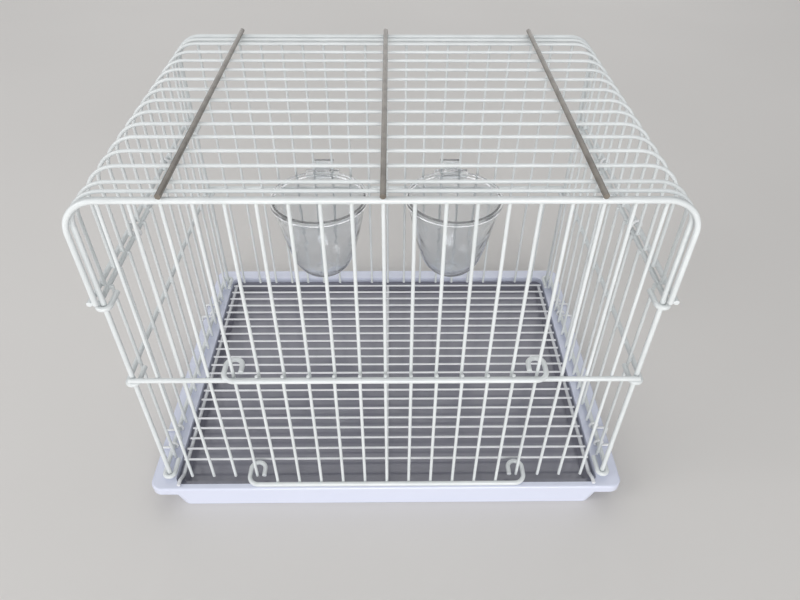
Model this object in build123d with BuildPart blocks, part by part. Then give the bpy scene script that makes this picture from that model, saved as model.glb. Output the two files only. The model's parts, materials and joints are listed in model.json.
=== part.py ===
from build123d import *
from math import cos, hypot, radians, sin
import os

# Pet transport cage: a wire cage latched on a moulded base, with a liner tray, a floor grid,
# a sliding door and two clear hanging cups. Millimetres, +Z up, the front at -Y.
# The origin is the middle of the underside of the base.

os.makedirs("parts", exist_ok=True)

# Wire diameters
frame_wire = 3.0
mesh_wire = 2.0
grid_wire = 1.6
grid_rod = 2.5
clip_wire = 1.8
ring_wire = 1.8

# Clearances
seat_gap = 0.3
loop_gap = 0.2
ring_gap = 0.15
socket_gap = 0.1
end_round = 0.35

# Base tray
base_overhang = 9.5
base_height = 18.5
base_corner = 8.0
flange_thickness = 2.2
rim_height = 6.0
rim_round = 1.5
tub_leg_margin = 0.8
tub_side_slope = 7.0
tub_back_inset = 12.0
tub_back_slope = 5.5
tub_corner = 7.0
tub_floor = 2.0
recess_leg_margin = 3.7
front_strip = 4.2
back_flange = 11.5
recess_corner = 6.0
liner_ledge = 2.1
cavity_draft = 14.0
socket_depth = 3.5
socket_boss = 3.2
leg_plug_depth = 3.2

# Cage
cage_width = 303.0
cage_depth = 216.5
cage_height = 225.15
hoop_corner = 20.0
front_hoop_inset = 6.5
back_hoop_inset = 15.0
roof_leg_end = 160.5
close_hoop_step = 7.8
roof_wire_count = 13
roof_end_gap = 16.15
rib_spread = 102.0
rib_front_overhang = 1.5
rib_back_overhang = 4.0
roof_rail_rise = 1.0
rail_overhang = 1.0

# Front and back panels
frame_leg_inset = 3.3
frame_head_drop = 3.45
frame_corner = 13.5
frame_step = 4.2
panel_cells = 20
middle_bar_height = 100.6
wire_foot_gap = 0.5
upper_wire_tail = 0.5
cup_rail_height = 121.5

# Side panels
side_top_rail_drop = 4.0
side_wire_shift = 3.35
side_wire_foot_gap = 0.4
loop_return = 11.3

# Door
door_wire_count = 11
door_height = 103.6
door_wire_foot = 1.2
door_wire_head = 2.0
door_hook_radius = 4.8
door_hook_reach = 17.6
door_hook_return = 7.1
door_hook_corner = 7.0

# Hinge rings and base latches
ring_opening = 0.5
ring_wire_count = 3
eye_gap = 0.3
eye_lift = 0.4
clip_bend = 1.5
clip_bar_inset = 2.6
clip_swing_gap = 0.3

# Liner tray
liner_side_gap = 0.5
liner_front_gap = 2.0
liner_lip = 3.5
liner_wall = 1.5
liner_floor_depth = 10.5
liner_draft = 16.0

# Floor grid
grid_end_gap = 1.5
grid_wire_depth = 1.0
grid_count = 22
grid_first_wire = 18.5
grid_last_wire = 6.9
rod_end_gap = 2.0
rod_tail = 0.6
side_rod_reach = 2.2
centre_rod_inset = 1.0
rod_ramp_start = 6.0
rod_ramp_length = 8.0
rod_bend = 4.0

# Cups
cup_rim_radius = 37.5
cup_height = 70.0
cup_wall = 1.6
cup_rim_lip = 1.2
cup_rim_depth = 3.0
cup_waist_radius = 27.5
cup_waist_height = 26.0
cup_foot_radius = 9.0
cup_foot_slope = (1, 0.3)
cup_rim_slope = (0.15, 1)
cup_drop = 1.5
cup_neck_width = 11.0
cup_tab_thickness = 2.0
cup_saddle_width = 17.0
cup_hook_tail = 12.0
cup_wing_width = 27.0
cup_wing_height = 9.0
cup_shelf = 5.0
cup_back_gap = 3.3
cup_cell_count = 3.5
foot_ring_radius = 8.0
foot_ring_height = 0.8
foot_ring_width = 1.2

# Levels and stations worked out from the sizes above
deck = base_height
base_width = cage_width + 2 * base_overhang
base_depth = cage_depth + front_hoop_inset + back_hoop_inset
frame_leg_spread = cage_width - 2 * frame_leg_inset
frame_height = cage_height - frame_head_drop
recess_width = frame_leg_spread - 2 * recess_leg_margin
tub_top_width = frame_leg_spread + 2 * tub_leg_margin
tub_bottom_width = tub_top_width - 2 * tub_side_slope
roof_pitch = (cage_depth - 2 * roof_end_gap) / (roof_wire_count - 1)
grid_length = recess_width - 2 * grid_end_gap
grid_pitch = (cage_depth - grid_first_wire - grid_last_wire) / (grid_count - 1)
rod_spread = grid_length / 2 - rod_end_gap
front_edge = -base_depth / 2
back_edge = base_depth / 2
front_hoop_y = front_edge + front_hoop_inset
back_hoop_y = back_edge - back_hoop_inset
cage_middle_y = (front_hoop_y + back_hoop_y) / 2
front_frame_y = front_hoop_y + frame_step
back_frame_y = back_hoop_y - frame_step
roof_top = deck + cage_height
roof_leg_z = deck + roof_leg_end
frame_leg_x = frame_leg_spread / 2
panel_pitch = frame_leg_spread / panel_cells
frame_top_z = deck + frame_height
middle_bar_z = deck + middle_bar_height
half_frame_wire = frame_wire / 2
half_mesh_wire = mesh_wire / 2
bar_to_wire = half_frame_wire + half_mesh_wire
front_bar_y = front_frame_y - frame_wire
front_wire_y = front_bar_y + bar_to_wire
back_bar_y = back_frame_y + frame_wire
back_wire_y = back_bar_y - bar_to_wire
panel_wire_length = frame_height - half_frame_wire - wire_foot_gap

loop_radius = frame_wire + loop_gap
side_rail_x = frame_leg_x + loop_radius
side_wire_x = side_rail_x - bar_to_wire
eye_radius = half_frame_wire + eye_gap + clip_wire / 2
top_rail_z = roof_leg_z - side_top_rail_drop
middle_rail_z = middle_bar_z - frame_wire - seat_gap
bottom_rail_z = deck + eye_lift + clip_wire / 2 + eye_radius
roof_rail_x = cage_width / 2 + half_frame_wire
roof_rail_z = roof_leg_z + roof_rail_rise

roof_wire_stations = [
    cage_middle_y + (k - (roof_wire_count - 1) / 2) * roof_pitch for k in range(roof_wire_count)
]
side_wire_stations = [y + side_wire_shift for y in roof_wire_stations]


def plane_at_y(y):
    """Plane that faces the front at station y: its x is +X and its y is +Z."""
    return Plane(origin=(0, y, 0), x_dir=(1, 0, 0), z_dir=(0, -1, 0))


def round_wire_ends(radius):
    """Ease the cut ends of the straight wires in the part that is being built."""
    flat_ends = faces().filter_by(GeomType.PLANE)
    fillet(flat_ends.edges().filter_by(GeomType.CIRCLE), radius)


def add_upright_wires(places, bottom, length, wire):
    """Add one upright wire at each (x, y) place."""
    with BuildSketch(Plane.XY.offset(bottom)) as section:
        with Locations(*places):
            Circle(wire / 2)
    extrude(section.sketch, amount=length)
    round_wire_ends(end_round)


def add_bar_across(places, length, wire):
    """Add one bar along X, centred on X = 0, at each (y, z) place."""
    with BuildSketch(Plane.YZ.offset(-length / 2)) as section:
        with Locations(*places):
            Circle(wire / 2)
    extrude(section.sketch, amount=length)
    round_wire_ends(end_round)


def add_bar_back(places, front, back, wire):
    """Add one bar along Y at each (x, z) place."""
    with BuildSketch(plane_at_y(back)) as section:
        with Locations(*places):
            Circle(wire / 2)
    extrude(section.sketch, amount=back - front)
    round_wire_ends(end_round)


def sweep_wire(path, wire):
    """Sweep a round wire along the path line."""
    with BuildSketch(Plane(origin=path @ 0, z_dir=path % 0)) as section:
        Circle(wire / 2)
    sweep(section.sketch, path=path)


def add_hoop(y, half_width, foot, top, corner, wire):
    """Add one inverted-U hoop at station y, given the lines of its wire."""
    with BuildLine(plane_at_y(y)) as line:
        FilletPolyline(
            (-half_width, foot), (-half_width, top), (half_width, top), (half_width, foot), radius=corner
        )
    sweep_wire(line.wires()[0], wire)
    round_wire_ends(end_round)


def panel_places(cells, y):
    """Places of the panel wires that stand the given numbers of cells off the middle."""
    return [(cell * panel_pitch, y) for cell in cells]


# Base tray
tub_front = front_edge
tub_top_back = back_edge - tub_back_inset + tub_back_slope
tub_bottom_back = back_edge - tub_back_inset
recess_front = front_edge + front_strip
recess_back = back_edge - back_flange
recess_depth = recess_back - recess_front
recess_middle = (recess_front + recess_back) / 2
grid_wire_z = deck - grid_wire_depth
grid_rod_z = grid_wire_z - grid_wire / 2 - grid_rod / 2
liner_lip_z = grid_rod_z - grid_rod / 2 - seat_gap
ledge_z = liner_lip_z - liner_wall
socket_places = [(side * frame_leg_x, y) for side in (-1, 1) for y in (front_frame_y, back_frame_y)]

with BuildPart() as base_tray:
    with BuildSketch(Plane.XY):
        with Locations((0, (tub_front + tub_bottom_back) / 2)):
            RectangleRounded(tub_bottom_width, tub_bottom_back - tub_front, tub_corner)
    with BuildSketch(Plane.XY.offset(deck - flange_thickness)):
        with Locations((0, (tub_front + tub_top_back) / 2)):
            RectangleRounded(tub_top_width, tub_top_back - tub_front, tub_corner)
    loft()
    fillet(faces().sort_by(Axis.Z)[0].edges(), rim_round)
    with BuildSketch(Plane.XY.offset(deck - flange_thickness)):
        RectangleRounded(base_width, base_depth, base_corner)
    extrude(amount=flange_thickness)
    with BuildSketch(Plane.XY.offset(deck - rim_height)):
        RectangleRounded(base_width, base_depth, base_corner)
        RectangleRounded(
            base_width - 2 * flange_thickness,
            base_depth - 2 * flange_thickness,
            base_corner - flange_thickness,
            mode=Mode.SUBTRACT,
        )
    extrude(amount=rim_height - flange_thickness)
    with BuildSketch(Plane.XY.offset(deck - socket_depth - flange_thickness)):
        with Locations(*socket_places):
            Circle(socket_boss)
    extrude(amount=socket_depth)
    with BuildSketch(Plane.XY.offset(deck)):
        with Locations((0, recess_middle)):
            RectangleRounded(recess_width, recess_depth, recess_corner)
    extrude(amount=ledge_z - deck, mode=Mode.SUBTRACT)
    with BuildSketch(Plane.XY.offset(ledge_z)):
        with Locations((0, recess_middle)):
            RectangleRounded(
                recess_width - 2 * liner_ledge, recess_depth - 2 * liner_ledge, recess_corner - liner_ledge
            )
    extrude(amount=tub_floor - ledge_z, taper=cavity_draft, mode=Mode.SUBTRACT)
    fillet(faces().group_by(Axis.Z)[-1].sort_by(SortBy.AREA)[-1].outer_wire().edges(), rim_round)
    with Locations(*[(x, y, deck) for x, y in socket_places]):
        Hole(half_frame_wire + socket_gap, depth=socket_depth)
base_tray.part.label = "base_tray"
export_step(base_tray.part, "parts/base_tray.step")

# Liner tray
liner_width = recess_width - 2 * liner_side_gap
liner_front = recess_front + liner_front_gap
liner_back = recess_back - liner_side_gap
liner_depth = liner_back - liner_front
liner_middle = (liner_front + liner_back) / 2
liner_floor_z = deck - liner_floor_depth
liner_corner = recess_corner - liner_side_gap
pan_corner = liner_corner - liner_lip + liner_wall

with BuildPart() as liner_tray:
    with BuildSketch(Plane.XY.offset(ledge_z)):
        with Locations((0, liner_middle)):
            RectangleRounded(liner_width, liner_depth, liner_corner)
    extrude(amount=liner_wall)
    with BuildSketch(Plane.XY.offset(ledge_z)):
        with Locations((0, liner_middle)):
            RectangleRounded(
                liner_width - 2 * (liner_lip - liner_wall),
                liner_depth - 2 * (liner_lip - liner_wall),
                pan_corner,
            )
    extrude(amount=liner_floor_z - liner_wall - ledge_z, taper=liner_draft)
    with BuildSketch(Plane.XY.offset(liner_lip_z)):
        with Locations((0, liner_middle)):
            RectangleRounded(
                liner_width - 2 * liner_lip, liner_depth - 2 * liner_lip, pan_corner - liner_wall / 2
            )
    extrude(amount=liner_floor_z - liner_lip_z, taper=liner_draft, mode=Mode.SUBTRACT)
liner_tray.part.label = "liner_tray"
export_step(liner_tray.part, "parts/liner_tray.step")

# Floor grid
grid_front_y = front_hoop_y + grid_first_wire
grid_back_y = grid_front_y + (grid_count - 1) * grid_pitch
rod_back_y = grid_back_y + rod_tail
rod_front_y = front_edge + side_rod_reach
rod_lift_z = deck + seat_gap + grid_rod / 2
ramp_front_y = front_edge + rod_ramp_start
ramp_back_y = ramp_front_y + rod_ramp_length

with BuildPart() as floor_grid_wires:
    add_bar_across(
        [(grid_front_y + k * grid_pitch, grid_wire_z) for k in range(grid_count)], grid_length, grid_wire
    )
floor_grid_wires.part.label = "floor_grid_wires"
export_step(floor_grid_wires.part, "parts/floor_grid_wires.step")

with BuildPart() as floor_grid_rods:
    add_bar_back([(0, grid_rod_z)], front_hoop_y + centre_rod_inset, rod_back_y, grid_rod)
    for side in (-1, 1):
        with BuildLine(Plane.YZ.offset(side * rod_spread)) as rod_line:
            FilletPolyline(
                (rod_front_y, rod_lift_z),
                (ramp_front_y, rod_lift_z),
                (ramp_back_y, grid_rod_z),
                (rod_back_y, grid_rod_z),
                radius=rod_bend,
            )
        sweep_wire(rod_line.wires()[0], grid_rod)
floor_grid_rods.part.label = "floor_grid_rods"
export_step(floor_grid_rods.part, "parts/floor_grid_rods.step")

# Roof shell
hoop_leg_x = cage_width / 2 - half_frame_wire
thin_leg_x = cage_width / 2 - half_mesh_wire
for hoop_name, hoop_y in (("roof_front_hoop", front_hoop_y), ("roof_back_hoop", back_hoop_y)):
    with BuildPart() as thick_hoop:
        add_hoop(
            hoop_y,
            hoop_leg_x,
            roof_leg_z,
            roof_top - half_frame_wire,
            hoop_corner - half_frame_wire,
            frame_wire,
        )
    thick_hoop.part.label = hoop_name
    export_step(thick_hoop.part, f"parts/{hoop_name}.step")

with BuildPart() as roof_wires:
    for y in [front_hoop_y + close_hoop_step, *roof_wire_stations, back_hoop_y - close_hoop_step]:
        add_hoop(
            y,
            thin_leg_x,
            roof_leg_z,
            roof_top - half_mesh_wire,
            hoop_corner - half_mesh_wire,
            mesh_wire,
        )
roof_wires.part.label = "roof_wires"
export_step(roof_wires.part, "parts/roof_wires.step")

with BuildPart() as roof_ribs:
    add_bar_back(
        [(x, roof_top + half_frame_wire) for x in (-rib_spread, 0, rib_spread)],
        front_hoop_y - rib_front_overhang,
        back_hoop_y + rib_back_overhang,
        frame_wire,
    )
roof_ribs.part.label = "roof_ribs"
export_step(roof_ribs.part, "parts/roof_ribs.step")

# Front panel
guide_cell = (door_wire_count + 1) // 2
edge_cell = panel_cells // 2
upper_cells = range(1 - guide_cell, guide_cell)
outer_cells = range(guide_cell + 1, edge_cell)
bar_length = frame_leg_spread + frame_wire

for frame_name, frame_y in (("front_frame", front_frame_y), ("back_frame", back_frame_y)):
    with BuildPart() as panel_frame:
        add_hoop(frame_y, frame_leg_x, deck - leg_plug_depth, frame_top_z, frame_corner, frame_wire)
    panel_frame.part.label = frame_name
    export_step(panel_frame.part, f"parts/{frame_name}.step")

with BuildPart() as front_middle_bar:
    add_bar_across([(front_bar_y, middle_bar_z)], bar_length, frame_wire)
front_middle_bar.part.label = "front_middle_bar"
export_step(front_middle_bar.part, "parts/front_middle_bar.step")

upper_wire_foot = middle_bar_z - half_frame_wire - upper_wire_tail
with BuildPart() as front_upper_wires:
    add_upright_wires(
        panel_places(upper_cells, front_wire_y),
        upper_wire_foot,
        frame_top_z - half_frame_wire - upper_wire_foot,
        mesh_wire,
    )
front_upper_wires.part.label = "front_upper_wires"
export_step(front_upper_wires.part, "parts/front_upper_wires.step")

full_wire_sets = (
    ("door_guides", (-guide_cell, guide_cell), front_wire_y),
    ("front_left_wires", [-cell for cell in outer_cells], front_wire_y),
    ("front_right_wires", outer_cells, front_wire_y),
    ("back_wires", range(1 - edge_cell, edge_cell), back_wire_y),
)
for set_name, cells, y in full_wire_sets:
    with BuildPart() as full_wires:
        add_upright_wires(panel_places(cells, y), deck + wire_foot_gap, panel_wire_length, mesh_wire)
    full_wires.part.label = set_name
    export_step(full_wires.part, f"parts/{set_name}.step")

# Back panel bars
back_bars = (("back_middle_bar", middle_bar_z), ("cup_rail", deck + cup_rail_height))
for bar_name, bar_z in back_bars:
    with BuildPart() as back_bar:
        add_bar_across([(back_bar_y, bar_z)], bar_length, frame_wire)
    back_bar.part.label = bar_name
    export_step(back_bar.part, f"parts/{bar_name}.step")

# Door
guide_x = guide_cell * panel_pitch
door_wire_y = front_bar_y - half_frame_wire - seat_gap - half_mesh_wire
door_bar_y = door_wire_y - bar_to_wire
door_bottom_z = deck + seat_gap + half_frame_wire
door_top_z = door_bottom_z + door_height
hook_centre_y = door_bar_y + door_hook_reach - door_hook_radius
hook_end_y = door_bar_y + door_hook_return

for bar_name, bar_z in (("door_bottom_bar", door_bottom_z), ("door_top_bar", door_top_z)):
    with BuildPart() as door_bar:
        with BuildLine(Plane.XY.offset(bar_z)) as bar_line:
            left_end = CenterArc((-guide_x, hook_centre_y), door_hook_radius, 0, 180)
            right_end = CenterArc((guide_x, hook_centre_y), door_hook_radius, 0, 180)
            Line((-guide_x + door_hook_radius, hook_end_y), left_end @ 0)
            Line((guide_x - door_hook_radius, hook_end_y), right_end @ 1)
            FilletPolyline(
                left_end @ 1,
                (-guide_x - door_hook_radius, door_bar_y),
                (guide_x + door_hook_radius, door_bar_y),
                right_end @ 0,
                radius=door_hook_corner,
            )
        sweep_wire(bar_line.wires()[0], frame_wire)
    door_bar.part.label = bar_name
    export_step(door_bar.part, f"parts/{bar_name}.step")

with BuildPart() as door_wires:
    add_upright_wires(
        panel_places(upper_cells, door_wire_y),
        door_bottom_z - door_wire_foot,
        door_height + door_wire_foot + door_wire_head,
        mesh_wire,
    )
door_wires.part.label = "door_wires"
export_step(door_wires.part, "parts/door_wires.step")


# Side panels: side is -1 on the left and 1 on the right
def add_looped_rail(side, z):
    """Add a side rail whose ends bend round the front and back frame legs."""
    outer_x = side * side_rail_x
    inner_x = side * (frame_leg_x - loop_radius)
    leg_x = side * frame_leg_x
    with BuildLine(Plane.XY.offset(z)) as rail_line:
        Line((inner_x, front_frame_y + loop_return), (inner_x, front_frame_y))
        ThreePointArc(
            (inner_x, front_frame_y), (leg_x, front_frame_y - loop_radius), (outer_x, front_frame_y)
        )
        Line((outer_x, front_frame_y), (outer_x, back_frame_y))
        ThreePointArc((outer_x, back_frame_y), (leg_x, back_frame_y + loop_radius), (inner_x, back_frame_y))
        Line((inner_x, back_frame_y), (inner_x, back_frame_y - loop_return))
    sweep_wire(rail_line.wires()[0], frame_wire)


side_wire_length = top_rail_z + half_frame_wire - deck - side_wire_foot_gap
rail_levels = (("top", top_rail_z), ("middle", middle_rail_z), ("bottom", bottom_rail_z))
for side_name, side in (("left", -1), ("right", 1)):
    with BuildPart() as roof_rail:
        add_bar_back(
            [(side * roof_rail_x, roof_rail_z)],
            front_hoop_y - rail_overhang,
            back_hoop_y + rail_overhang,
            frame_wire,
        )
    roof_rail.part.label = f"{side_name}_roof_rail"
    export_step(roof_rail.part, f"parts/{side_name}_roof_rail.step")
    for level_name, level_z in rail_levels:
        with BuildPart() as side_rail:
            add_looped_rail(side, level_z)
        side_rail.part.label = f"{side_name}_{level_name}_rail"
        export_step(side_rail.part, f"parts/{side_name}_{level_name}_rail.step")
    with BuildPart() as side_wires:
        add_upright_wires(
            [(side * side_wire_x, y) for y in side_wire_stations],
            deck + side_wire_foot_gap,
            side_wire_length,
            mesh_wire,
        )
    side_wires.part.label = f"{side_name}_side_wires"
    export_step(side_wires.part, f"parts/{side_name}_side_wires.step")

# Hinge rings: each is bent round the roof rail and the side panel's top rail
ring_radius = half_frame_wire + ring_gap + ring_wire / 2
rail_offset_x = roof_rail_x - side_rail_x
rail_offset_z = roof_rail_z - top_rail_z
ring_free_gap = (roof_pitch + side_wire_shift) / 2
front_ring_y = roof_wire_stations[ring_wire_count] + ring_free_gap
back_ring_y = roof_wire_stations[-ring_wire_count - 2] + ring_free_gap


def add_hinge_ring(side, y):
    """Add an oval ring round both rails, with its ends almost meeting on the outer side."""
    along = Vector(rail_offset_x, rail_offset_z).normalized()
    across = Vector(along.Y, -along.X)

    def ring_point(rail, step_along, step_across):
        """Point of the ring line, stepped from the middle of the lower (0) or upper (1) rail."""
        x = side_rail_x + rail * rail_offset_x + step_along * along.X + step_across * across.X
        z = top_rail_z + rail * rail_offset_z + step_along * along.Y + step_across * across.Y
        return (side * x, z)

    half_opening = ring_opening / 2
    with BuildLine(plane_at_y(y)) as ring_line:
        Line(ring_point(0.5, half_opening, ring_radius), ring_point(1, 0, ring_radius))
        ThreePointArc(
            ring_point(1, 0, ring_radius), ring_point(1, ring_radius, 0), ring_point(1, 0, -ring_radius)
        )
        Line(ring_point(1, 0, -ring_radius), ring_point(0, 0, -ring_radius))
        ThreePointArc(
            ring_point(0, 0, -ring_radius), ring_point(0, -ring_radius, 0), ring_point(0, 0, ring_radius)
        )
        Line(ring_point(0, 0, ring_radius), ring_point(0.5, -half_opening, ring_radius))
    sweep_wire(ring_line.wires()[0], ring_wire)


# Base latches: each is one wire with an eye at both ends, round the side panel's bottom rail
flange_edge_x = base_width / 2
clip_leg_x = flange_edge_x + seat_gap + clip_wire / 2
rim_corner_x = flange_edge_x - rim_round - side_rail_x
rim_corner_z = bottom_rail_z - (deck - rim_height + rim_round)
bar_swing_radius = hypot(rim_corner_x, rim_corner_z) + rim_round + clip_wire / 2 + clip_swing_gap
clip_bar_x = clip_leg_x - clip_bar_inset
clip_bar_z = bottom_rail_z - (bar_swing_radius**2 - (clip_bar_x - side_rail_x) ** 2) ** 0.5
clip_arm_z = bottom_rail_z - eye_radius


def add_base_clip(side, near, far):
    """Add a latch whose two eyes stand at the stations near and far."""
    with BuildLine() as clip_line:
        for y in (near, far):
            ThreePointArc(
                (side * (side_rail_x + eye_radius), y, bottom_rail_z),
                (
                    side * (side_rail_x - eye_radius * sin(radians(45))),
                    y,
                    bottom_rail_z + eye_radius * cos(radians(45)),
                ),
                (side * side_rail_x, y, clip_arm_z),
            )
        FilletPolyline(
            (side * side_rail_x, near, clip_arm_z),
            (side * clip_leg_x, near, clip_arm_z),
            (side * clip_leg_x, near, clip_bar_z),
            (side * clip_bar_x, near, clip_bar_z),
            (side * clip_bar_x, far, clip_bar_z),
            (side * clip_leg_x, far, clip_bar_z),
            (side * clip_leg_x, far, clip_arm_z),
            (side * side_rail_x, far, clip_arm_z),
            radius=clip_bend,
        )
    sweep_wire(clip_line.wires()[0], clip_wire)


def between_side_wires(index):
    """Station midway between one side wire and the next one back."""
    return side_wire_stations[index] + roof_pitch / 2


for side_name, side in (("left", -1), ("right", 1)):
    for end_name, ring_y in (("front", front_ring_y), ("back", back_ring_y)):
        with BuildPart() as hinge_ring:
            add_hinge_ring(side, ring_y)
        hinge_ring.part.label = f"{side_name}_{end_name}_hinge_ring"
        export_step(hinge_ring.part, f"parts/{side_name}_{end_name}_hinge_ring.step")
    for end_name, index in (("front", 0), ("back", roof_wire_count - 4)):
        with BuildPart() as base_clip:
            add_base_clip(side, between_side_wires(index), between_side_wires(index + 1))
        base_clip.part.label = f"{side_name}_{end_name}_base_clip"
        export_step(base_clip.part, f"parts/{side_name}_{end_name}_base_clip.step")

# Cups: turned bowls with a hook that passes between two back wires and over the cup rail
cup_rail_z = deck + cup_rail_height
cup_wire_face = back_wire_y - half_mesh_wire
cup_y = cup_wire_face - cup_back_gap - cup_rim_radius
cup_rim_z = cup_rail_z - cup_drop
cup_bottom_z = cup_rim_z - cup_height
wing_back_y = cup_wire_face - seat_gap
wing_front_y = wing_back_y - cup_tab_thickness
saddle_front_y = back_wire_y + half_mesh_wire + seat_gap
saddle_back_y = back_bar_y + half_frame_wire + seat_gap + cup_tab_thickness
saddle_z = cup_rail_z + half_frame_wire + seat_gap


def add_bowl(cup_x, inset, bowl_mode):
    """Turn the bowl's outside, or its hollow when inset is the wall."""
    with BuildSketch(plane_at_y(cup_y)) as section:
        with BuildLine():
            base_line = Line((cup_x, cup_bottom_z + inset), (cup_x + cup_foot_radius, cup_bottom_z + inset))
            wall_line = Spline(
                base_line @ 1,
                (cup_x + cup_waist_radius - inset, cup_bottom_z + cup_waist_height),
                (cup_x + cup_rim_radius - cup_rim_lip - inset, cup_rim_z),
                tangents=(cup_foot_slope, cup_rim_slope),
            )
            Polyline(wall_line @ 1, (cup_x, cup_rim_z), base_line @ 0)
        make_face()
    revolve(section.sketch, axis=Axis((cup_x, cup_y, 0), (0, 0, 1)), mode=bowl_mode)


def add_tab_block(cup_x, width, y_range, z_range):
    """Add one block of the cup's tab, centred on the cup in X."""
    with BuildSketch(Plane.XY.offset(z_range[0])) as section:
        with Locations((cup_x, sum(y_range) / 2)):
            Rectangle(width, y_range[1] - y_range[0])
    extrude(section.sketch, amount=z_range[1] - z_range[0])


for cup_name, cell in (("left_cup", -cup_cell_count), ("right_cup", cup_cell_count)):
    cup_x = cell * panel_pitch
    with BuildPart() as cup:
        add_bowl(cup_x, 0, Mode.ADD)
        with BuildSketch(Plane.XY.offset(cup_rim_z - cup_rim_depth)):
            with Locations((cup_x, cup_y)):
                Circle(cup_rim_radius)
        extrude(amount=cup_rim_depth)
        with BuildSketch(Plane.XY.offset(cup_bottom_z - foot_ring_height)):
            with Locations((cup_x, cup_y)):
                Circle(foot_ring_radius)
                Circle(foot_ring_radius - foot_ring_width, mode=Mode.SUBTRACT)
        extrude(amount=foot_ring_height)
        shelf = (cup_y + cup_rim_radius - cup_shelf, wing_back_y)
        wing = (wing_front_y, wing_back_y)
        neck = (wing_front_y, saddle_front_y)
        saddle = (saddle_front_y, saddle_back_y)
        tail = (saddle_back_y - cup_tab_thickness, saddle_back_y)
        tab_top = saddle_z + cup_tab_thickness
        add_tab_block(cup_x, cup_wing_width, shelf, (cup_rim_z - cup_rim_depth, cup_rim_z))
        add_tab_block(cup_x, cup_wing_width, wing, (cup_rim_z - cup_wing_height, cup_rim_z))
        add_tab_block(cup_x, cup_neck_width, wing, (cup_rim_z, tab_top))
        add_tab_block(cup_x, cup_neck_width, neck, (saddle_z, tab_top))
        add_tab_block(cup_x, cup_saddle_width, saddle, (saddle_z, tab_top))
        add_tab_block(cup_x, cup_saddle_width, tail, (cup_rail_z - cup_hook_tail, tab_top))
        add_bowl(cup_x, cup_wall, Mode.SUBTRACT)
    cup.part.label = cup_name
    export_step(cup.part, f"parts/{cup_name}.step")
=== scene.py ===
"""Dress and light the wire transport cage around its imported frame."""

import json
import logging
from dataclasses import dataclass
from enum import Enum
from math import cos, radians, sin

import bpy
import numpy as np
from mathutils import Matrix, Vector


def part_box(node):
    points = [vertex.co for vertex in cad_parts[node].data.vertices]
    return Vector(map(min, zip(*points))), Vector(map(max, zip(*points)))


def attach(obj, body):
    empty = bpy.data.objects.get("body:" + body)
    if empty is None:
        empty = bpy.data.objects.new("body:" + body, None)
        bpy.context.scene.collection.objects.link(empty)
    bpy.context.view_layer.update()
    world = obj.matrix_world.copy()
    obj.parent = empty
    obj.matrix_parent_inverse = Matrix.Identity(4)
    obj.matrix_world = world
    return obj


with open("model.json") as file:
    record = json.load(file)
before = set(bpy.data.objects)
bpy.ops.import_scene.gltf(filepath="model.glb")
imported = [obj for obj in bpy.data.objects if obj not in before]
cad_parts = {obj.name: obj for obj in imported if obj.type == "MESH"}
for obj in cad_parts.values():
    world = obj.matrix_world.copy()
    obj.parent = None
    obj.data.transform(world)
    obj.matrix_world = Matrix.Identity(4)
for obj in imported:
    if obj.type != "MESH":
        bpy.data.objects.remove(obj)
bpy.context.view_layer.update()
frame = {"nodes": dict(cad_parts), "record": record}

MM = 0.001
NOISE_SPAN = (0.3, 0.7)
LOG = logging.getLogger("cage")


class Facing(Enum):
    """Axis along which the two wires of a weld lie on each other."""

    X = 0
    Y = 1
    Z = 2


@dataclass(frozen=True)
class Coating:
    """Powder coat over drawn wire, with faint mottling and orange peel."""

    name: str
    colour: tuple[float, float, float]
    shade: tuple[float, float, float]
    roughness: float = 0.32
    mottle_scale: float = 55.0
    peel_scale: float = 1400.0
    peel_strength: float = 0.10
    peel_depth: float = 0.12 * MM
    mottle_span: tuple[float, float] = (0.36, 0.62)
    gloss: float = 0.25
    gloss_roughness: float = 0.12

    def material(self) -> bpy.types.Material:
        """Make the coat's node material.

        Returns:
            The finished material.
        """
        made = NodeMaterial(self.name)
        made.set_value("Roughness", self.roughness)
        made.set_value("Coat Weight", self.gloss)
        made.set_value("Coat Roughness", self.gloss_roughness)
        mottle = made.noise(self.mottle_scale, detail=5.0)
        made.colour_from(mottle, self.shade, self.colour, self.mottle_span)
        made.bump_from(made.noise(self.peel_scale, detail=2.0), self.peel_strength, self.peel_depth)
        return made.material


@dataclass(frozen=True)
class MouldedPlastic:
    """Glossy injection-moulded plastic with slow sink waves and handling haze."""

    name: str
    colour: tuple[float, float, float]
    shade: tuple[float, float, float]
    roughness: float = 0.22
    haze: float = 0.10
    wave_scale: float = 18.0
    wave_span: tuple[float, float] = (0.34, 0.66)
    haze_scale: float = 70.0
    grain_scale: float = 900.0
    grain_strength: float = 0.06
    grain_depth: float = 0.1 * MM
    gloss: float = 0.35
    gloss_roughness: float = 0.06

    def material(self) -> bpy.types.Material:
        """Make the plastic's node material.

        Returns:
            The finished material.
        """
        made = NodeMaterial(self.name)
        made.set_value("Coat Weight", self.gloss)
        made.set_value("Coat Roughness", self.gloss_roughness)
        clouds = made.noise(self.wave_scale, detail=4.0)
        made.colour_from(clouds, self.shade, self.colour, self.wave_span)
        haze = made.noise(self.haze_scale, detail=6.0)
        made.roughness_from(haze, self.roughness, self.roughness + self.haze)
        grain = made.noise(self.grain_scale, detail=3.0)
        made.bump_from(grain, self.grain_strength, self.grain_depth)
        return made.material


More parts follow.
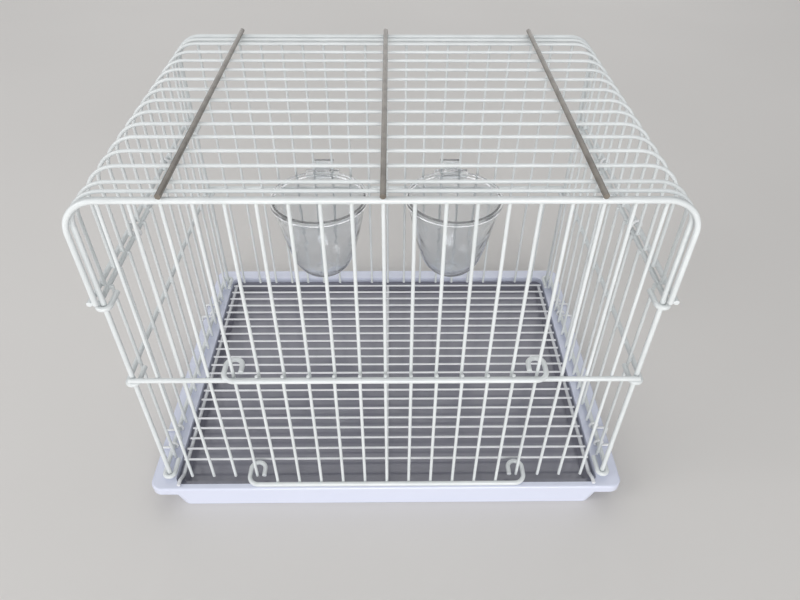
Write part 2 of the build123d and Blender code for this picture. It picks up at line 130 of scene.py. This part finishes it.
@dataclass(frozen=True)
class ClearPlastic:
    """Clear polystyrene with the flow ripples of a thin moulding."""

    name: str
    tint: tuple[float, float, float] = (0.93, 0.95, 0.97)
    clear: tuple[float, float, float] = (0.98, 0.99, 1.0)
    tint_scale: float = 30.0
    tint_span: tuple[float, float] = (0.4, 0.6)
    roughness: float = 0.04
    smear: float = 0.06
    smear_scale: float = 120.0
    refraction: float = 1.49
    clearness: float = 0.93
    gloss: float = 0.5
    gloss_roughness: float = 0.03
    ripple_scale: float = 70.0
    ripple_strength: float = 0.6
    ripple_depth: float = 1.5 * MM

    def material(self) -> bpy.types.Material:
        """Make the clear plastic's node material.

        Returns:
            The finished material.
        """
        made = NodeMaterial(self.name)
        made.set_value("Transmission Weight", self.clearness)
        made.set_value("Coat Weight", self.gloss)
        made.set_value("Coat Roughness", self.gloss_roughness)
        made.set_value("IOR", self.refraction)
        tint = made.noise(self.tint_scale, detail=2.0)
        made.colour_from(tint, self.tint, self.clear, self.tint_span)
        smears = made.noise(self.smear_scale, detail=5.0)
        made.roughness_from(smears, self.roughness, self.roughness + self.smear)
        ripples = made.noise(self.ripple_scale, detail=1.5)
        made.bump_from(ripples, self.ripple_strength, self.ripple_depth)
        return made.material


class NodeMaterial:
    """A principled material with the few noise-driven links that the finishes share."""

    def __init__(self, name: str) -> None:
        """Start a material under the given name."""
        self.material = bpy.data.materials.new(name)
        self.material.use_nodes = True
        self.tree = self.material.node_tree
        self.shader = self.tree.nodes["Principled BSDF"]
        self.place = self.tree.nodes.new("ShaderNodeTexCoord")

    def set_value(self, socket: str, value: float) -> None:
        """Set one constant on the shader's own socket."""
        self.shader.inputs[socket].default_value = value

    def noise(self, scale: float, detail: float) -> bpy.types.NodeSocket:
        """Add a noise texture on object coordinates.

        Args:
            scale: Pattern repeats in a metre.
            detail: Octaves of finer noise.

        Returns:
            The noise's factor socket.
        """
        node = self.tree.nodes.new("ShaderNodeTexNoise")
        node.inputs["Scale"].default_value = scale
        node.inputs["Detail"].default_value = detail
        self.tree.links.new(self.place.outputs["Object"], node.inputs["Vector"])
        return node.outputs["Fac"]

    def ramp(self, factor: bpy.types.NodeSocket, low: float, high: float) -> bpy.types.Node:
        """Add a colour ramp between two stops and return its node."""
        node = self.tree.nodes.new("ShaderNodeValToRGB")
        node.color_ramp.elements[0].position = low
        node.color_ramp.elements[1].position = high
        self.tree.links.new(factor, node.inputs["Fac"])
        return node

    def colour_from(
        self,
        factor: bpy.types.NodeSocket,
        dark: tuple[float, float, float],
        light: tuple[float, float, float],
        span: tuple[float, float],
    ) -> None:
        """Blend the base colour from dark to light as the factor crosses the span."""
        node = self.ramp(factor, *span)
        node.color_ramp.elements[0].color = (*dark, 1.0)
        node.color_ramp.elements[1].color = (*light, 1.0)
        self.tree.links.new(node.outputs["Color"], self.shader.inputs["Base Color"])

    def roughness_from(self, factor: bpy.types.NodeSocket, low: float, high: float) -> None:
        """Spread the roughness between two values with the factor."""
        node = self.tree.nodes.new("ShaderNodeMapRange")
        node.inputs["From Min"].default_value = NOISE_SPAN[0]
        node.inputs["From Max"].default_value = NOISE_SPAN[1]
        node.inputs["To Min"].default_value = low
        node.inputs["To Max"].default_value = high
        self.tree.links.new(factor, node.inputs["Value"])
        self.tree.links.new(node.outputs["Result"], self.shader.inputs["Roughness"])

    def bump_from(self, factor: bpy.types.NodeSocket, strength: float, distance: float) -> None:
        """Raise the surface with the factor, by the given depth in metres."""
        node = self.tree.nodes.new("ShaderNodeBump")
        node.inputs["Strength"].default_value = strength
        node.inputs["Distance"].default_value = distance
        self.tree.links.new(factor, node.inputs["Height"])
        self.tree.links.new(node.outputs["Normal"], self.shader.inputs["Normal"])


def lattice(xs: list[float], ys: list[float], zs: list[float]) -> np.ndarray:
    """List every combination of the given places.

    Args:
        xs: Places along X in metres.
        ys: Places along Y in metres.
        zs: Places along Z in metres.

    Returns:
        Array of points, one a row.
    """
    return np.stack(np.meshgrid(xs, ys, zs, indexing="ij"), axis=-1).reshape(-1, 3)


def mirrored(points: np.ndarray) -> np.ndarray:
    """Return the points and their mirror images across X = 0."""
    return np.concatenate([points, points * np.array([-1.0, 1.0, 1.0])])


@dataclass(frozen=True)
class WeldBeads:
    """Coated weld beads that fill the corners where two wires are welded across each other."""

    name: str
    body: str
    facing: Facing
    points: np.ndarray
    spread: float = 1.25 * MM
    rise: float = 0.62 * MM
    rings: int = 6
    sides: int = 10

    def build(self, finish: bpy.types.Material) -> bpy.types.Object:
        """Make one mesh that holds a bead at every point.

        A bead is an ellipsoid: its angle round runs over the sides and its angle from pole to pole over
        the rings. It is flat along the axis on which the wires lie, and its two poles are single points.

        Args:
            finish: Material of the beads.

        Returns:
            The new piece, riding on its body.
        """
        tilt = np.linspace(0.0, np.pi, self.rings + 1)[1:-1]
        turn = np.linspace(0.0, 2.0 * np.pi, self.sides, endpoint=False)
        tilts, turns = np.meshgrid(tilt, turn, indexing="ij")
        across = np.sin(tilts)
        shell = np.stack([across * np.cos(turns), across * np.sin(turns), np.cos(tilts)], axis=-1)
        unit = np.concatenate([shell.reshape(-1, 3), [[0.0, 0.0, 1.0], [0.0, 0.0, -1.0]]])
        size = np.full(3, self.spread)
        size[self.facing.value] = self.rise
        verts = (self.points[:, None, :] + (unit * size)[None, :, :]).reshape(-1, 3)
        faces = self.bead_faces()
        steps = np.arange(len(self.points)) * len(unit)
        mesh = bpy.data.meshes.new(self.name)
        mesh.from_pydata(verts, [], self.shifted(faces, steps).tolist())
        mesh.polygons.foreach_set("use_smooth", np.ones(len(mesh.polygons), dtype=bool))
        mesh.materials.append(finish)
        piece = bpy.data.objects.new(self.name, mesh)
        bpy.context.scene.collection.objects.link(piece)
        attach(piece, self.body)
        return piece

    def bead_faces(self) -> np.ndarray:
        """Return the triangles of one bead, outward, as rows of three indices."""
        band = self.rings - 1
        ring, side = np.meshgrid(np.arange(band - 1), np.arange(self.sides), indexing="ij")
        here = (ring * self.sides + side).ravel()
        beside = (ring * self.sides + (side + 1) % self.sides).ravel()
        under = here + self.sides
        under_beside = beside + self.sides
        quads = np.stack([here, under, under_beside, here, under_beside, beside], axis=-1)
        around = np.arange(self.sides)
        following = (around + 1) % self.sides
        top = np.full(self.sides, band * self.sides)
        last = (band - 1) * self.sides
        cap = np.stack([top, around, following], axis=-1)
        foot = np.stack([top + 1, last + following, last + around], axis=-1)
        return np.concatenate([quads.reshape(-1, 3), cap, foot])

    @staticmethod
    def shifted(faces: np.ndarray, steps: np.ndarray) -> np.ndarray:
        """Repeat the faces once for each index step."""
        return (faces[None, :, :] + steps[:, None, None]).reshape(-1, 3)


@dataclass(frozen=True)
class WirePattern:
    """Spacing of the wires, as the cage was drawn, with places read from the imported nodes."""

    roof_count: int = 13
    roof_pitch: float = 15.35 * MM
    side_shift: float = 3.35 * MM
    panel_pitch: float = 14.82 * MM
    grid_count: int = 22
    grid_pitch: float = 9.1 * MM
    thick: float = 3.0 * MM
    thin: float = 2.0 * MM
    rod: float = 2.5 * MM
    last_cell: int = 9
    door_last_cell: int = 5

    def middle(self, node: str, axis: int) -> float:
        """Return the middle of a node's box along one axis."""
        low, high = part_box(node)
        return (low[axis] + high[axis]) / 2.0

    def roof_stations(self) -> np.ndarray:
        """Return the Y places of the evenly spaced roof wires."""
        steps = np.arange(self.roof_count) - (self.roof_count - 1) / 2.0
        return self.middle("roof_wires", 1) + steps * self.roof_pitch

    def hoop_stations(self) -> np.ndarray:
        """Return the Y places of all hoops: the thick ones, the close ones, then the even ones."""
        low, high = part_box("roof_wires")
        close = [low[1] + self.thin / 2.0, high[1] - self.thin / 2.0]
        thick = [self.middle("roof_front_hoop", 1), self.middle("roof_back_hoop", 1)]
        return np.concatenate([thick, close, self.roof_stations()])

    def panel_places(self, last: int) -> np.ndarray:
        """Return the X places of the panel wires, from cell -last to cell last."""
        return np.arange(-last, last + 1) * self.panel_pitch


@dataclass(frozen=True)
class RoofShell:
    """Ribs and rails welded over the hoops."""

    pattern: WirePattern

    def build(self, finish: bpy.types.Material) -> list[bpy.types.Object]:
        """Make the roof's weld beads.

        Args:
            finish: Material of the beads.

        Returns:
            The new pieces.
        """
        low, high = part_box("roof_ribs")
        rib = high[0] - self.pattern.thick / 2.0
        hoops = self.pattern.hoop_stations()
        ribs = lattice([-rib, 0.0, rib], hoops, [low[2]])
        rail_low, rail_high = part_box("right_roof_rail")
        rails = mirrored(lattice([rail_low[0]], hoops, [(rail_low[2] + rail_high[2]) / 2.0]))
        return [
            WeldBeads("roof_rib_welds", "cage", Facing.Z, ribs).build(finish),
            WeldBeads("roof_rail_welds", "cage", Facing.X, rails).build(finish),
        ]


@dataclass(frozen=True)
class WirePanels:
    """Front, back and side panels and the door, where their wires cross the bars."""

    pattern: WirePattern
    head_spread: float = 1.15 * MM

    def side_points(self) -> np.ndarray:
        """Return the crossings of the side wires and side rails, on both sides."""
        levels = [self.pattern.middle(f"right_{name}_rail", 2) for name in ("top", "middle", "bottom")]
        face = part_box("right_side_wires")[1][0]
        stations = self.pattern.roof_stations() + self.pattern.side_shift
        return mirrored(lattice([face], stations, levels))

    def front_points(self) -> np.ndarray:
        """Return the crossings behind the front middle bar."""
        places = self.pattern.panel_places(self.pattern.last_cell)
        level = self.pattern.middle("front_middle_bar", 2)
        return lattice(places, [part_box("front_middle_bar")[1][1]], [level])

    def back_points(self) -> np.ndarray:
        """Return the crossings in front of the back middle bar and the cup rail."""
        levels = [self.pattern.middle(name, 2) for name in ("back_middle_bar", "cup_rail")]
        places = self.pattern.panel_places(self.pattern.last_cell)
        return lattice(places, [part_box("back_middle_bar")[0][1]], levels)

    def head_points(self) -> np.ndarray:
        """Return the butt welds under the top bars of the front and back frames."""
        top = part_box("front_frame")[1][2] - self.pattern.thick
        places = self.pattern.panel_places(self.pattern.last_cell)
        depths = [self.pattern.middle("door_guides", 1), self.pattern.middle("back_wires", 1)]
        return lattice(places, depths, [top])

    def door_points(self) -> np.ndarray:
        """Return the crossings of the door wires and the two door bars."""
        levels = [self.pattern.middle(name, 2) for name in ("door_bottom_bar", "door_top_bar")]
        places = self.pattern.panel_places(self.pattern.door_last_cell)
        return lattice(places, [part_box("door_wires")[0][1]], levels)

    def build(self, finish: bpy.types.Material) -> list[bpy.types.Object]:
        """Make the panels' weld beads.

        Args:
            finish: Material of the beads.

        Returns:
            The new pieces.
        """
        beads = [
            WeldBeads("side_panel_welds", "cage", Facing.X, self.side_points()),
            WeldBeads("front_panel_welds", "cage", Facing.Y, self.front_points()),
            WeldBeads("back_panel_welds", "cage", Facing.Y, self.back_points()),
            WeldBeads("frame_head_welds", "cage", Facing.Z, self.head_points(), self.head_spread),
            WeldBeads("door_welds", "door", Facing.Y, self.door_points()),
        ]
        return [bead.build(finish) for bead in beads]


@dataclass(frozen=True)
class FloorGrid:
    """Grid wires welded on their three rods."""

    pattern: WirePattern
    bead_spread: float = 1.0 * MM
    bead_rise: float = 0.5 * MM

    def build(self, finish: bpy.types.Material) -> list[bpy.types.Object]:
        """Make the grid's weld beads.

        Args:
            finish: Material of the beads.

        Returns:
            The new pieces.
        """
        low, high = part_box("floor_grid_wires")
        wire = high[2] - low[2]
        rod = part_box("floor_grid_rods")[1][0] - self.pattern.rod / 2.0
        steps = np.arange(self.pattern.grid_count) * self.pattern.grid_pitch
        stations = low[1] + wire / 2.0 + steps
        points = lattice([-rod, 0.0, rod], stations, [low[2]])
        beads = WeldBeads(
            "floor_grid_welds", "floor_grid", Facing.Z, points, self.bead_spread, self.bead_rise
        )
        return [beads.build(finish)]


def dress_nodes(finishes: dict[str, bpy.types.Material]) -> None:
    """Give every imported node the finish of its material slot.

    Args:
        finishes: Material for each slot of the record.
    """
    slots = {part["node"]: part["material_slot"] for part in frame["record"]["subparts"]}
    for name, node in frame["nodes"].items():
        node.data.materials.clear()
        node.data.materials.append(finishes[slots[name]])
        LOG.info("dressed %s in %s", name, slots[name])


@dataclass(frozen=True)
class SoftLamp:
    """One square soft lamp that looks at the middle of the cage."""

    name: str
    place: tuple[float, float, float]
    power: float
    size: float
    target: tuple[float, float, float] = (0.0, 0.0, 0.12)

    def build(self) -> None:
        """Add the lamp, with its power in watts and its side in metres."""
        data = bpy.data.lights.new(self.name, "AREA")
        data.energy = self.power
        data.size = self.size
        lamp = bpy.data.objects.new(self.name, data)
        lamp.location = self.place
        aim = Vector(self.target) - lamp.location
        lamp.rotation_euler = aim.to_track_quat("-Z", "Y").to_euler()
        bpy.context.scene.collection.objects.link(lamp)


class Studio:
    """Floor, lamps, backdrop and camera."""

    lamps = (
        SoftLamp("front_lamp", (0.15, -2.4, 0.85), power=41.0, size=1.5),
        SoftLamp("left_lamp", (-1.7, -0.7, 1.1), power=11.0, size=1.1),
        SoftLamp("back_lamp", (0.0, 2.2, 1.5), power=25.0, size=3.0),
    )
    floor_reach = 4.0
    floor_shade = (0.70, 0.68, 0.66)
    floor_colour = (0.72, 0.70, 0.68)
    floor_cloud_scale = 3.0
    floor_roughness = 0.8

    focal_length = 29.03
    camera_place = (4.1 * MM, -365.7 * MM, 401.8 * MM)
    yaw = radians(0.9)
    pitch = radians(40.97)
    roll = radians(-0.416)
    world_colour = (0.86, 0.87, 0.88)
    world_light = 0.42
    world_seen = 0.78

    def add_floor(self) -> None:
        """Add the plain pale floor as one large sheet under the base."""
        mesh = bpy.data.meshes.new("studio_floor")
        signs = ((-1, -1), (1, -1), (1, 1), (-1, 1))
        corners = [(x * self.floor_reach, y * self.floor_reach, 0.0) for x, y in signs]
        mesh.from_pydata(corners, [], [(0, 1, 2, 3)])
        made = NodeMaterial("pale_paper")
        made.set_value("Roughness", self.floor_roughness)
        clouds = made.noise(self.floor_cloud_scale, detail=2.0)
        made.colour_from(clouds, self.floor_shade, self.floor_colour, NOISE_SPAN)
        mesh.materials.append(made.material)
        floor = bpy.data.objects.new("studio_floor", mesh)
        bpy.context.scene.collection.objects.link(floor)

    def add_camera(self) -> None:
        """Add the camera at the photograph's place and angle."""
        data = bpy.data.cameras.new("camera")
        data.lens = self.focal_length
        camera = bpy.data.objects.new("camera", data)
        forward = Vector(
            (sin(self.yaw) * cos(self.pitch), cos(self.yaw) * cos(self.pitch), -sin(self.pitch))
        )
        level = Vector((cos(self.yaw), -sin(self.yaw), 0.0))
        down = forward.cross(level)
        right = cos(self.roll) * level + sin(self.roll) * down
        down = cos(self.roll) * down - sin(self.roll) * level
        turn = Matrix((right, -down, -forward)).transposed()
        camera.matrix_world = Matrix.Translation(self.camera_place) @ turn.to_4x4()
        bpy.context.scene.collection.objects.link(camera)
        bpy.context.scene.camera = camera

    def light_world(self, world: bpy.types.World) -> None:
        """Light softly from all round, with a paler backdrop where the camera sees it.

        Args:
            world: World of the scene.
        """
        world.use_nodes = True
        nodes = world.node_tree.nodes
        backdrop = nodes["Background"]
        backdrop.inputs["Color"].default_value = (*self.world_colour, 1.0)
        ray = nodes.new("ShaderNodeLightPath")
        strength = nodes.new("ShaderNodeMapRange")
        strength.inputs["To Min"].default_value = self.world_light
        strength.inputs["To Max"].default_value = self.world_seen
        world.node_tree.links.new(ray.outputs["Is Camera Ray"], strength.inputs["Value"])
        world.node_tree.links.new(strength.outputs["Result"], backdrop.inputs["Strength"])

    def build(self) -> None:
        """Set the stage, the light and the camera."""
        scene = bpy.context.scene
        scene.view_settings.view_transform = "Standard"
        world = scene.world or bpy.data.worlds.new("studio_world")
        scene.world = world
        self.light_world(world)
        self.add_floor()
        for lamp in self.lamps:
            lamp.build()
        self.add_camera()


def build_finishes() -> dict[str, bpy.types.Material]:
    """Make the material of every slot."""
    coat = Coating("white_wire_coat", (0.76, 0.79, 0.795), (0.70, 0.73, 0.735))
    fitting = Coating("fitting_coat", (0.82, 0.83, 0.84), (0.72, 0.73, 0.74), roughness=0.28)
    # Painted shade: the ribs are the same white coat as the wires, and this dark brown colour stands in
    # for the shade they fall into under low front light.
    rib = Coating(
        "rib_coat_painted_shade", (0.21, 0.185, 0.155), (0.13, 0.11, 0.09), roughness=0.26, mottle_scale=90.0
    )
    grid = Coating("grid_coat", (0.80, 0.81, 0.83), (0.72, 0.73, 0.75), roughness=0.30)
    base = MouldedPlastic("lavender_base", (0.70, 0.73, 0.86), (0.69, 0.72, 0.85), haze=0.05)
    liner = MouldedPlastic(
        "liner_plastic", (0.27, 0.27, 0.315), (0.235, 0.235, 0.28), roughness=0.07, haze=0.05
    )
    cup = ClearPlastic("clear_cup")
    return {
        "wire_coating": coat.material(),
        "rib_coating": rib.material(),
        "fitting_coating": fitting.material(),
        "grid_coating": grid.material(),
        "base_plastic": base.material(),
        "liner_plastic": liner.material(),
        "cup_plastic": cup.material(),
    }


def main() -> None:
    """Dress the nodes, add the welds and set the studio."""
    logging.basicConfig(level=logging.INFO)
    finishes = build_finishes()
    dress_nodes(finishes)
    pattern = WirePattern()
    for assembly in (RoofShell(pattern), WirePanels(pattern)):
        for piece in assembly.build(finishes["wire_coating"]):
            LOG.info("built %s", piece.name)
    for piece in FloorGrid(pattern).build(finishes["grid_coating"]):
        LOG.info("built %s", piece.name)
    Studio().build()


if __name__ == "__main__":
    main()
